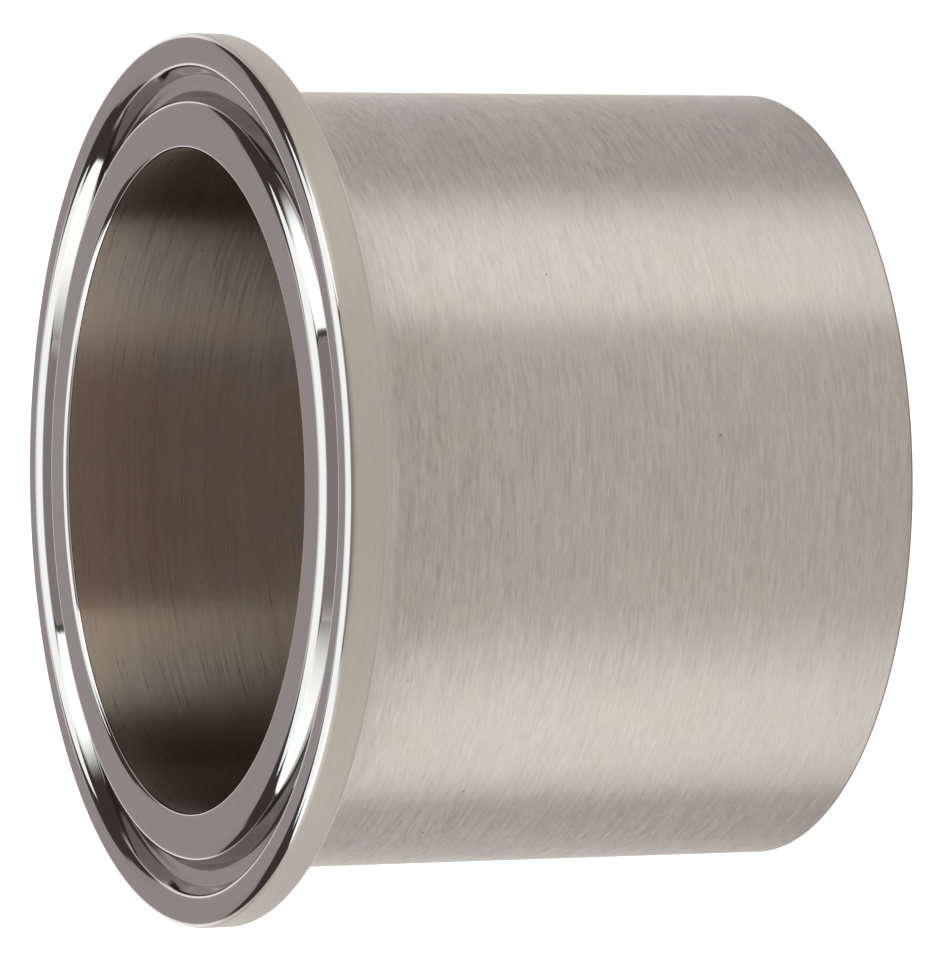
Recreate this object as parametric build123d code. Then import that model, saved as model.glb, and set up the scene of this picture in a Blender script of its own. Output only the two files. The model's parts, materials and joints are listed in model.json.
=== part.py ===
from build123d import *
import math
import os

# Sanitary clamp ferrule for 2 inch pipe, turned in one piece from stainless steel: a short
# weld tube that carries a clamp flange with a polished face and a round gasket groove.
# It stands on its weld end. The origin is the centre of that end, and +Z runs along the
# axis to the clamp face. Lengths are in millimetres and angles in degrees.

# Driving dimensions
OVERALL_LENGTH = 44.6        # weld end to clamp face
BORE_DIAMETER = 47.5         # straight bore, the same from end to end
WALL_THICKNESS = 4.1         # wall of the weld tube
FLANGE_OVERHANG = 4.1        # how far the rim stands out from the tube
RIM_THICKNESS = 2.9          # clamp face to the back edge of the rim
BACK_TAPER_ANGLE = 20.0      # back of the flange, against the face plane
NECK_RADIUS = 1.6            # fillet between the back of the flange and the tube
FACE_EDGE_RADIUS = 0.8       # rounded front edge of the rim
BACK_EDGE_CHAMFER = 0.4      # back edge of the rim
GROOVE_INSET = 3.57          # rim to the middle of the gasket groove
GROOVE_DEPTH = 1.6           # clamp face to the bottom of the groove
GROOVE_BOTTOM_WIDTH = 1.2    # across the bottom, between its two flanks
GROOVE_FLANK_ANGLE = 65.0    # flanks of the groove, against the face plane
GROOVE_BOTTOM_RADIUS = 0.4   # rounded corners at the bottom of the groove
GROOVE_LIP_RADIUS = 0.95     # rounded lips on both sides of the groove
BORE_LIP_CHAMFER = 0.35      # edge between the bore and the clamp face
WELD_EDGE_CHAMFER = 0.15     # both edges of the weld end

# Radii and heights that follow from them
BORE_RADIUS = BORE_DIAMETER / 2
TUBE_RADIUS = BORE_RADIUS + WALL_THICKNESS
FLANGE_RADIUS = TUBE_RADIUS + FLANGE_OVERHANG
RIM_BACK_HEIGHT = OVERALL_LENGTH - RIM_THICKNESS
NECK_HEIGHT = RIM_BACK_HEIGHT - FLANGE_OVERHANG * math.tan(math.radians(BACK_TAPER_ANGLE))
GROOVE_MIDDLE = FLANGE_RADIUS - GROOVE_INSET
GROOVE_FLOOR = OVERALL_LENGTH - GROOVE_DEPTH
GROOVE_HALF_BOTTOM = GROOVE_BOTTOM_WIDTH / 2
GROOVE_HALF_MOUTH = GROOVE_HALF_BOTTOM + GROOVE_DEPTH / math.tan(math.radians(GROOVE_FLANK_ANGLE))


def half_section():
    """Half-section of the ferrule: X is the distance from the axis, Y the height."""
    corners = [
        ((BORE_RADIUS, 0), chamfer, WELD_EDGE_CHAMFER),
        ((TUBE_RADIUS, 0), chamfer, WELD_EDGE_CHAMFER),
        ((TUBE_RADIUS, NECK_HEIGHT), fillet, NECK_RADIUS),
        ((FLANGE_RADIUS, RIM_BACK_HEIGHT), chamfer, BACK_EDGE_CHAMFER),
        ((FLANGE_RADIUS, OVERALL_LENGTH), fillet, FACE_EDGE_RADIUS),
        ((GROOVE_MIDDLE + GROOVE_HALF_MOUTH, OVERALL_LENGTH), fillet, GROOVE_LIP_RADIUS),
        ((GROOVE_MIDDLE + GROOVE_HALF_BOTTOM, GROOVE_FLOOR), fillet, GROOVE_BOTTOM_RADIUS),
        ((GROOVE_MIDDLE - GROOVE_HALF_BOTTOM, GROOVE_FLOOR), fillet, GROOVE_BOTTOM_RADIUS),
        ((GROOVE_MIDDLE - GROOVE_HALF_MOUTH, OVERALL_LENGTH), fillet, GROOVE_LIP_RADIUS),
        ((BORE_RADIUS, OVERALL_LENGTH), chamfer, BORE_LIP_CHAMFER),
    ]
    section = Polygon(*[corner for corner, _, _ in corners], align=None)
    for corner, finish, size in corners:
        section = finish(section.vertices().sort_by_distance(corner)[0], size)
    return section


def clamp_ferrule():
    """The whole ferrule, turned about its axis."""
    return revolve(Plane.XZ * half_section(), Axis.Z)


os.makedirs("parts", exist_ok=True)
export_step(clamp_ferrule(), "parts/clamp_ferrule.step")
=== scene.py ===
import json
import math

import bpy
from mathutils import Matrix, Vector

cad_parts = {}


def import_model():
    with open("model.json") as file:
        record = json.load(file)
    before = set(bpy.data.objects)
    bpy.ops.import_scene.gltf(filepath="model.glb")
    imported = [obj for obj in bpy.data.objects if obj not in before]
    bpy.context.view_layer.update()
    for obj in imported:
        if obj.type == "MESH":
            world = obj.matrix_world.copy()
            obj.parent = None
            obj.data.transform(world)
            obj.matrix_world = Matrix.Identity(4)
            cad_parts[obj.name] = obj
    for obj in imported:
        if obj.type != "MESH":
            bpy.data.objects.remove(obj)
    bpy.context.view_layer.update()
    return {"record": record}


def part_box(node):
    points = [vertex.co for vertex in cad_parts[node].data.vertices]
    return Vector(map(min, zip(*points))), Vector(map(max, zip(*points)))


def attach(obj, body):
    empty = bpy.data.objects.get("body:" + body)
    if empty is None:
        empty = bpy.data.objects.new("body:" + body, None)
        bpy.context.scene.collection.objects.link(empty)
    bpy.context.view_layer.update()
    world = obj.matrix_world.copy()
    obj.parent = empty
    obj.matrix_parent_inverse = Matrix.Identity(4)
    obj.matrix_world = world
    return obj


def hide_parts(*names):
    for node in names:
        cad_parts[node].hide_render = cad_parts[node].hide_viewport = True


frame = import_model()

MM = 0.001
MICRON = 0.000001

# Sizes from the frame. The ferrule stands on its weld end at the origin, with its axis up +Z.
mounts = {mount["name"]: mount for mount in frame["record"]["mounts"]}
far_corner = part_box("clamp_ferrule")[1]
LENGTH = far_corner.z
FLANGE_RADIUS = far_corner.x
BORE_RADIUS = mounts["bore"]["dims"]["r_mm"] * MM
TUBE_RADIUS = mounts["weld_tube"]["dims"]["r_mm"] * MM

# The rest of the turned profile, as in the part's source
RIM_THICKNESS = 2.9 * MM
BACK_TAPER = math.radians(20)
NECK_RADIUS = 1.6 * MM
GROOVE_INSET = 3.57 * MM
GROOVE_DEPTH = 1.6 * MM
GROOVE_BOTTOM_WIDTH = 1.2 * MM
GROOVE_FLANK = math.radians(65)
GROOVE_BOTTOM_RADIUS = 0.4 * MM
GROOVE_LIP_RADIUS = 0.95 * MM
# Rounds that differ from the source's fillets and chamfers, by less than 0.1 mm at the surface
FACE_EDGE_RADIUS = 0.7 * MM
BACK_EDGE_RADIUS = 0.5 * MM
BORE_LIP_RADIUS = 0.38 * MM
WELD_EDGE_RADIUS = 0.18 * MM
# Share of the rim's front round that is polished with the face
FACE_POLISH_SHARE = 0.72

# Mesh fineness
TURN_STEPS = 512
ARC_STEP = math.radians(5)
HOLDING_GAP = 0.04 * MM

# View: a long lens that looks down at the clamp face, rolled until the axis lies level
AIM_HEIGHT = 22.0 * MM
AIM_SIDE = -0.2 * MM
CAMERA_DISTANCE = 0.5593
CAMERA_ELEVATION = math.radians(23.13)
CAMERA_ROLL = math.radians(90.73)
LENS_MM = 288.9
SENSOR_MM = 36

# Finishes, in the order of the ferrule's materials
POLISHED, BRUSHED, BORED, GROOVED, FACED, RIMMED = range(6)


# ---- the turned profile ----

def profile_corners():
    """Sharp corners of the half-section, in order: place, radius, and the finishes of the
    corner's round (before and after a share of its length) and of the stretch after it."""
    rim_back = LENGTH - RIM_THICKNESS
    neck = rim_back - (FLANGE_RADIUS - TUBE_RADIUS) * math.tan(BACK_TAPER)
    groove = FLANGE_RADIUS - GROOVE_INSET
    bottom = LENGTH - GROOVE_DEPTH
    half_bottom = GROOVE_BOTTOM_WIDTH / 2
    half_mouth = half_bottom + GROOVE_DEPTH / math.tan(GROOVE_FLANK)
    rim_front = (RIMMED, 1 - FACE_POLISH_SHARE, POLISHED)
    return [
        ((BORE_RADIUS, 0), WELD_EDGE_RADIUS, (BORED, 0.5, FACED), FACED),
        ((TUBE_RADIUS, 0), WELD_EDGE_RADIUS, (FACED, 0.5, BRUSHED), BRUSHED),
        ((TUBE_RADIUS, neck), NECK_RADIUS, (BRUSHED, 0.5, BRUSHED), BRUSHED),
        ((FLANGE_RADIUS, rim_back), BACK_EDGE_RADIUS, (BRUSHED, 0.5, RIMMED), RIMMED),
        ((FLANGE_RADIUS, LENGTH), FACE_EDGE_RADIUS, rim_front, POLISHED),
        ((groove + half_mouth, LENGTH), GROOVE_LIP_RADIUS, (POLISHED, 0.5, POLISHED), POLISHED),
        ((groove + half_bottom, bottom), GROOVE_BOTTOM_RADIUS, (POLISHED, 0.5, GROOVED), GROOVED),
        ((groove - half_bottom, bottom), GROOVE_BOTTOM_RADIUS, (GROOVED, 0.5, POLISHED), POLISHED),
        ((groove - half_mouth, LENGTH), GROOVE_LIP_RADIUS, (POLISHED, 0.5, POLISHED), POLISHED),
        ((BORE_RADIUS, LENGTH), BORE_LIP_RADIUS, (POLISHED, 0.5, POLISHED), BORED),
    ]


def corner_arc(corner, before, after, radius):
    """Points of the round that takes the place of a corner."""
    to_before = (before - corner).normalized()
    to_after = (after - corner).normalized()
    half = to_before.angle(to_after) / 2
    centre = corner + (to_before + to_after).normalized() * radius / math.sin(half)
    spoke = corner + to_before * radius / math.tan(half) - centre
    turn = math.pi - 2 * half
    if to_before.x * to_after.y - to_before.y * to_after.x > 0:
        turn = -turn
    steps = 2 * math.ceil(abs(turn) / ARC_STEP / 2)
    return [centre + Matrix.Rotation(turn * i / steps, 2) @ spoke for i in range(steps + 1)]


def turned_profile():
    """The whole outline: its points, and the finish of the stretch after each point."""
    corners = profile_corners()
    places = [Vector(place) for place, _, _, _ in corners]
    arcs = []
    for i, (_, radius, _, _) in enumerate(corners):
        arcs.append(corner_arc(places[i], places[i - 1], places[(i + 1) % len(places)], radius))
    points = []
    finishes = []
    for i, (_, _, (first, share, second), straight) in enumerate(corners):
        arc = arcs[i]
        steps = len(arc) - 1
        change = round(steps * share)
        points += arc
        finishes += [first] * change + [second] * (steps - change) + [straight]
        # a ring held close to each end of the straight stretch keeps it straight in the shading
        along = arcs[(i + 1) % len(arcs)][0] - arc[-1]
        if along.length > 4 * HOLDING_GAP:
            gap = along.normalized() * HOLDING_GAP
            points += [arc[-1] + gap, arc[-1] + along - gap]
            finishes += [straight, straight]
    return points, finishes


def lathe(name, points, finishes, materials):
    """A closed ring of quads turned round Z from the profile points."""
    count = len(points)
    vertices = []
    faces = []
    for step in range(TURN_STEPS):
        turn = 2 * math.pi * step / TURN_STEPS
        here = step * count
        following = (step + 1) % TURN_STEPS * count
        for i, point in enumerate(points):
            after = (i + 1) % count
            vertices.append((point.x * math.cos(turn), point.x * math.sin(turn), point.y))
            faces.append((here + i, following + i, following + after, here + after))
    mesh = bpy.data.meshes.new(name)
    mesh.from_pydata(vertices, [], faces)
    for material in materials:
        mesh.materials.append(material)
    mesh.polygons.foreach_set("material_index", finishes * TURN_STEPS)
    mesh.polygons.foreach_set("use_smooth", [True] * len(faces))
    mesh.update()
    piece = bpy.data.objects.new(name, mesh)
    bpy.context.scene.collection.objects.link(piece)
    return piece


# ---- materials ----

# The strokes of the grain wander sideways by up to this much, in waves of about 1 / scale
WANDER = 0.2 * MM
WANDER_SCALE = 70
# Fine strokes are mixed with longer and wider ones
FINE_SHARE = 0.6
LONG_STROKE = 4
LONG_PITCH = 3
# The part of the noise's range that holds nearly all of its values
NOISE_LOW = 0.3
NOISE_HIGH = 0.7
# Warm and cool patches in the steel
PATCH_SCALE = 120
PATCH_LOW = 0.35
PATCH_HIGH = 0.65
WARM_TINT = (1.012, 1.0, 0.985)
COOL_TINT = (0.988, 1.0, 1.015)
# Sparse dark specks
SPECK_SPACING = 3.5 * MM
SPECK_SIZE = 0.28 * MM
SPECK_STRENGTH = 0.6
SPECK_DARKNESS = 0.25
# How strongly the strokes' contrast shows in the roughness, and the turn that sets the grain's direction
ROUGHNESS_SWING = 2
QUARTER_TURN = 0.25

class Nodes:
    """Short ways to add and join shader nodes."""

    def __init__(self, tree):
        self.tree = tree

    def add(self, kind, **settings):
        node = self.tree.nodes.new(kind)
        for name, value in settings.items():
            setattr(node, name, value)
        return node

    def join(self, source, target):
        if isinstance(source, (int, float)):
            target.default_value = source
        else:
            self.tree.links.new(source, target)

    def math(self, operation, *values):
        node = self.add("ShaderNodeMath", operation=operation)
        for value, socket in zip(values, node.inputs):
            self.join(value, socket)
        return node.outputs[0]


def grain(nodes, stroke, pitch):
    """Noise drawn out round the axis into strokes of this length and spacing. The spacing runs
    along height and radius together, so it follows the tube as well as the flat faces."""
    place = nodes.add("ShaderNodeTexCoord").outputs["Object"]
    split = nodes.add("ShaderNodeSeparateXYZ")
    nodes.join(place, split.inputs[0])
    wander = nodes.add("ShaderNodeTexNoise")
    nodes.join(place, wander.inputs["Vector"])
    wander.inputs["Scale"].default_value = WANDER_SCALE
    wander.inputs["Detail"].default_value = 1
    flat = nodes.add("ShaderNodeCombineXYZ")
    nodes.join(split.outputs["X"], flat.inputs["X"])
    nodes.join(split.outputs["Y"], flat.inputs["Y"])
    radius = nodes.add("ShaderNodeVectorMath", operation="LENGTH")
    nodes.join(flat.outputs[0], radius.inputs[0])
    across = nodes.math("ADD", split.outputs["Z"], radius.outputs["Value"])
    across = nodes.math("MULTIPLY_ADD", wander.outputs["Fac"], WANDER, across)
    drawn = nodes.add("ShaderNodeCombineXYZ")
    nodes.join(nodes.math("DIVIDE", split.outputs["X"], stroke), drawn.inputs["X"])
    nodes.join(nodes.math("DIVIDE", split.outputs["Y"], stroke), drawn.inputs["Y"])
    nodes.join(nodes.math("DIVIDE", across, pitch), drawn.inputs["Z"])
    noise = nodes.add("ShaderNodeTexNoise")
    nodes.join(drawn.outputs[0], noise.inputs["Vector"])
    noise.inputs["Scale"].default_value = 1
    noise.inputs["Detail"].default_value = 3
    noise.inputs["Roughness"].default_value = 0.6
    return noise.outputs["Fac"]


def mottle(nodes, scale):
    """Soft cloudy noise, alike in all directions."""
    noise = nodes.add("ShaderNodeTexNoise")
    nodes.join(nodes.add("ShaderNodeTexCoord").outputs["Object"], noise.inputs["Vector"])
    noise.inputs["Scale"].default_value = scale
    noise.inputs["Detail"].default_value = 4
    return noise.outputs["Fac"]


def ranged(nodes, value, start, end, low, high):
    """Carries `value` from start...end over to low...high, and holds it there."""
    node = nodes.add("ShaderNodeMapRange")
    nodes.join(value, node.inputs["Value"])
    node.inputs["From Min"].default_value = start
    node.inputs["From Max"].default_value = end
    node.inputs["To Min"].default_value = low
    node.inputs["To Max"].default_value = high
    return node.outputs["Result"]


def specks(nodes, spacing, size):
    """A few small round marks, 1 at the middle of a mark and 0 elsewhere."""
    cells = nodes.add("ShaderNodeTexVoronoi")
    nodes.join(nodes.add("ShaderNodeTexCoord").outputs["Object"], cells.inputs["Vector"])
    cells.inputs["Scale"].default_value = 1 / spacing
    edge = size / spacing / 2
    mark = ranged(nodes, cells.outputs["Distance"], edge * 0.6, edge, 1, 0)
    split = nodes.add("ShaderNodeSeparateColor")
    nodes.join(cells.outputs["Color"], split.inputs[0])
    chosen = nodes.math("GREATER_THAN", split.outputs[0], 0.5)
    return nodes.math("MULTIPLY", mark, chosen)


def blended(nodes, factor, first, second, mode="MIX"):
    """Mixes two colours, each a tuple or a socket."""
    node = nodes.add("ShaderNodeMix", data_type="RGBA", blend_type=mode)
    nodes.join(factor, node.inputs["Factor"])
    for colour, socket in ((first, node.inputs["A"]), (second, node.inputs["B"])):
        if isinstance(colour, tuple):
            socket.default_value = (*colour, 1)
        else:
            nodes.join(colour, socket)
    return node.outputs["Result"]


def scaled(colour, factor):
    return tuple(part * factor for part in colour)


def steel(name, colour, roughness, anisotropy, stroke, pitch, contrast, bump):
    """Stainless steel with a turned or brushed grain in its colour, roughness and surface."""
    material = bpy.data.materials.new(name)
    material.use_nodes = True
    tree = material.node_tree
    nodes = Nodes(tree)
    shader = tree.nodes["Principled BSDF"]
    shader.inputs["Metallic"].default_value = 1
    fine = nodes.math("MULTIPLY", grain(nodes, stroke, pitch), FINE_SHARE)
    long = grain(nodes, stroke * LONG_STROKE, pitch * LONG_PITCH)
    strokes = nodes.math("MULTIPLY_ADD", long, 1 - FINE_SHARE, fine)
    tone = ranged(nodes, strokes, NOISE_LOW, NOISE_HIGH, 0, 1)
    bright = blended(nodes, tone, scaled(colour, 1 - contrast), scaled(colour, 1 + contrast))
    patches = ranged(nodes, mottle(nodes, PATCH_SCALE), PATCH_LOW, PATCH_HIGH, 0, 1)
    tinted = blended(nodes, 1.0, bright, blended(nodes, patches, WARM_TINT, COOL_TINT), "MULTIPLY")
    marks = nodes.math("MULTIPLY", specks(nodes, SPECK_SPACING, SPECK_SIZE), SPECK_STRENGTH)
    marked = blended(nodes, marks, tinted, scaled(colour, SPECK_DARKNESS))
    nodes.join(marked, shader.inputs["Base Color"])
    dull = roughness * (1 + ROUGHNESS_SWING * contrast)
    smooth = roughness * (1 - ROUGHNESS_SWING * contrast)
    spread = ranged(nodes, strokes, NOISE_LOW, NOISE_HIGH, dull, smooth)
    nodes.join(spread, shader.inputs["Roughness"])
    if bump:
        relief = nodes.add("ShaderNodeBump")
        relief.inputs["Strength"].default_value = 1
        relief.inputs["Distance"].default_value = bump
        nodes.join(strokes, relief.inputs["Height"])
        nodes.join(relief.outputs["Normal"], shader.inputs["Normal"])
    if anisotropy:
        shader.inputs["Anisotropic"].default_value = anisotropy
        shader.inputs["Anisotropic Rotation"].default_value = QUARTER_TURN
        tangent = nodes.add("ShaderNodeTangent", direction_type="RADIAL", axis="Z")
        nodes.join(tangent.outputs["Tangent"], shader.inputs["Tangent"])
    return material


WARM_STEEL = (0.45, 0.398, 0.365)
RIM_STEEL = (0.335, 0.29, 0.26)
POLISHED_STEEL = (0.435, 0.40, 0.40)
BORE_STEEL = (0.365, 0.28, 0.235)
materials = [
    steel("polished_steel", POLISHED_STEEL, roughness=0.06, anisotropy=0,
          stroke=6 * MM, pitch=0.4 * MM, contrast=0.015, bump=0),
    steel("brushed_steel", WARM_STEEL, roughness=0.43, anisotropy=1,
          stroke=1.1 * MM, pitch=0.1 * MM, contrast=0.08, bump=0.4 * MICRON),
    steel("brushed_bore", BORE_STEEL, roughness=0.33, anisotropy=1,
          stroke=4 * MM, pitch=0.1 * MM, contrast=0.14, bump=0.8 * MICRON),
    steel("turned_groove", POLISHED_STEEL, roughness=0.15, anisotropy=0.5,
          stroke=8 * MM, pitch=0.1 * MM, contrast=0.06, bump=0.3 * MICRON),
    steel("faced_end", WARM_STEEL, roughness=0.3, anisotropy=0.6,
          stroke=20 * MM, pitch=0.12 * MM, contrast=0.06, bump=0.5 * MICRON),
    steel("turned_rim", RIM_STEEL, roughness=0.45, anisotropy=0.3,
          stroke=20 * MM, pitch=0.12 * MM, contrast=0.03, bump=0.3 * MICRON),
]
ferrule = lathe("ferrule", *turned_profile(), materials)
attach(ferrule, "root")
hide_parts("clamp_ferrule")


# ---- floor, light and camera ----

FLOOR_REACH = 4
FLOOR_COLOUR = (0.5, 0.475, 0.45)
FLOOR_GLOW = 0.7
# The sky shows white from the horizon up to the first of these heights, and is dim past the second
LOW_SKY = math.sin(math.radians(6))
HIGH_SKY = math.sin(math.radians(9))
ROOM_TONE = (0.085, 0.073, 0.065)
# Colours of the lamps
COOL_LIGHT = (0.94, 1.04, 1.03)
WARM_LIGHT = (1, 0.91, 0.84)
GREY_LIGHT = (1, 0.94, 0.93)


def softbox(name, centre, facing, size, brightness, colour, feather=(0, 0, 0, 0)):
    """A rectangular lamp whose face has the value `brightness`. It fades out over these shares
    of its width and height, in order: from its left, right, lower and upper border."""
    lamp = bpy.data.lights.new(name, "AREA")
    lamp.shape = "RECTANGLE"
    lamp.size, lamp.size_y = size
    lamp.energy = math.pi * size[0] * size[1] * brightness
    lamp.color = colour
    lamp.use_nodes = True
    nodes = Nodes(lamp.node_tree)
    emission = lamp.node_tree.nodes["Emission"]
    place = nodes.add("ShaderNodeNewGeometry")
    split = nodes.add("ShaderNodeSeparateXYZ")
    nodes.join(place.outputs["Parametric"], split.inputs[0])
    strength = 1.0
    for axis, first, last in (("X", feather[0], feather[1]), ("Y", feather[2], feather[3])):
        for start, end in ((0, first), (1, 1 - last)):
            if start == end:
                continue
            fade = nodes.add("ShaderNodeMapRange", interpolation_type="SMOOTHSTEP")
            nodes.join(split.outputs[axis], fade.inputs["Value"])
            fade.inputs["From Min"].default_value = start
            fade.inputs["From Max"].default_value = end
            strength = nodes.math("MULTIPLY", fade.outputs["Result"], strength)
    nodes.join(strength, emission.inputs["Strength"])
    holder = bpy.data.objects.new(name, lamp)
    holder.location = centre
    holder.rotation_mode = "QUATERNION"
    holder.rotation_quaternion = Vector(facing).to_track_quat("-Z", "Y")
    holder.visible_camera = False
    bpy.context.scene.collection.objects.link(holder)


def background_rays(nodes):
    """1 for the rays that show the background: from the camera, in metal and through glass."""
    path = nodes.add("ShaderNodeLightPath")
    direct = nodes.math("MAXIMUM", path.outputs["Is Camera Ray"], path.outputs["Is Transmission Ray"])
    return nodes.math("MAXIMUM", direct, path.outputs["Is Glossy Ray"])


def floor():
    """White to the camera and in the steel. Its glow stops at the tube, a painted shadow of the ferrule
    on the floor, so none comes up the bore.
    """
    mesh = bpy.data.meshes.new("floor")
    corners = [(x * FLOOR_REACH, y * FLOOR_REACH, 0) for x, y in ((-1, -1), (1, -1), (1, 1), (-1, 1))]
    mesh.from_pydata(corners, [], [(0, 1, 2, 3)])
    material = bpy.data.materials.new("floor")
    material.use_nodes = True
    tree = material.node_tree
    shader = tree.nodes["Principled BSDF"]
    shader.inputs["Base Color"].default_value = (*FLOOR_COLOUR, 1)
    shader.inputs["Roughness"].default_value = 1
    shader.inputs["Specular IOR Level"].default_value = 0
    shader.inputs["Emission Color"].default_value = (1, 1, 1, 1)
    nodes = Nodes(tree)
    place = nodes.add("ShaderNodeNewGeometry")
    distance = nodes.add("ShaderNodeVectorMath", operation="LENGTH")
    nodes.join(place.outputs["Position"], distance.inputs[0])
    glow = nodes.math("MULTIPLY", background_rays(nodes), FLOOR_GLOW)
    # no glow inside the tube's radius: a painted shadow on the floor inside the bore
    outside_painted_shadow = nodes.math("GREATER_THAN", distance.outputs["Value"], TUBE_RADIUS)
    nodes.join(nodes.math("MULTIPLY", glow, outside_painted_shadow), shader.inputs["Emission Strength"])
    mesh.materials.append(material)
    piece = bpy.data.objects.new("floor", mesh)
    bpy.context.scene.collection.objects.link(piece)


def world(tone):
    """A dim room of this tone, with a white horizon behind the floor."""
    scene_world = bpy.data.worlds.new("studio")
    bpy.context.scene.world = scene_world
    scene_world.use_nodes = True
    tree = scene_world.node_tree
    nodes = Nodes(tree)
    background = tree.nodes["Background"]
    split = nodes.add("ShaderNodeSeparateXYZ")
    nodes.join(nodes.add("ShaderNodeTexCoord").outputs["Generated"], split.inputs[0])
    low_sky = ranged(nodes, split.outputs["Z"], LOW_SKY, HIGH_SKY, 1, 0)
    white = nodes.math("MULTIPLY", background_rays(nodes), low_sky)
    nodes.join(blended(nodes, white, tone, (1.0, 1.0, 1.0)), background.inputs["Color"])


def camera():
    """The view that the constants at the top describe."""
    lens = bpy.data.cameras.new("camera")
    lens.lens = LENS_MM
    lens.sensor_width = SENSOR_MM
    holder = bpy.data.objects.new("camera", lens)
    back = Vector((0, -math.cos(CAMERA_ELEVATION), math.sin(CAMERA_ELEVATION)))
    holder.location = Vector((AIM_SIDE, 0, AIM_HEIGHT)) + back * CAMERA_DISTANCE
    level = (-back).to_track_quat("-Z", "Y").to_matrix()
    holder.rotation_mode = "QUATERNION"
    holder.rotation_quaternion = (level @ Matrix.Rotation(-CAMERA_ROLL, 3, "Z")).to_quaternion()
    bpy.context.scene.collection.objects.link(holder)
    bpy.context.scene.camera = holder


floor()
world(ROOM_TONE)
softbox("overhead", (0, -0.21, 1.2), (0, 0, -1), (2.6, 1.78), 2.08, COOL_LIGHT, (0, 0, 0.3, 0))
softbox("back_glow", (0, 0.98, 1.0), (0, -0.98, -1.0), (0.9, 0.72), 1.5, COOL_LIGHT, (0.4, 0.4, 0.6, 0))
softbox("right_wall", (1.3, -0.59, 0.6), (-1, 0, 0), (1.42, 1.2), 2.4, COOL_LIGHT, (0.02, 0.3, 0, 0))
softbox("left_wall", (-1.3, -0.77, 0.6), (1, 0, 0), (2.18, 1.2), 2.32, COOL_LIGHT, (0.02, 0.69, 0, 0))
softbox("front_card", (0, -1.4, 0.875), (0, 1, 0), (2.6, 1.75), 0.385, WARM_LIGHT)
softbox("back_card", (0, 1.2, 0.45), (0, -1, 0), (1.9, 1.0), 0.46, GREY_LIGHT, (0.1, 0.1, 0, 0.12))
camera()
bpy.context.scene.view_settings.view_transform = "Standard"
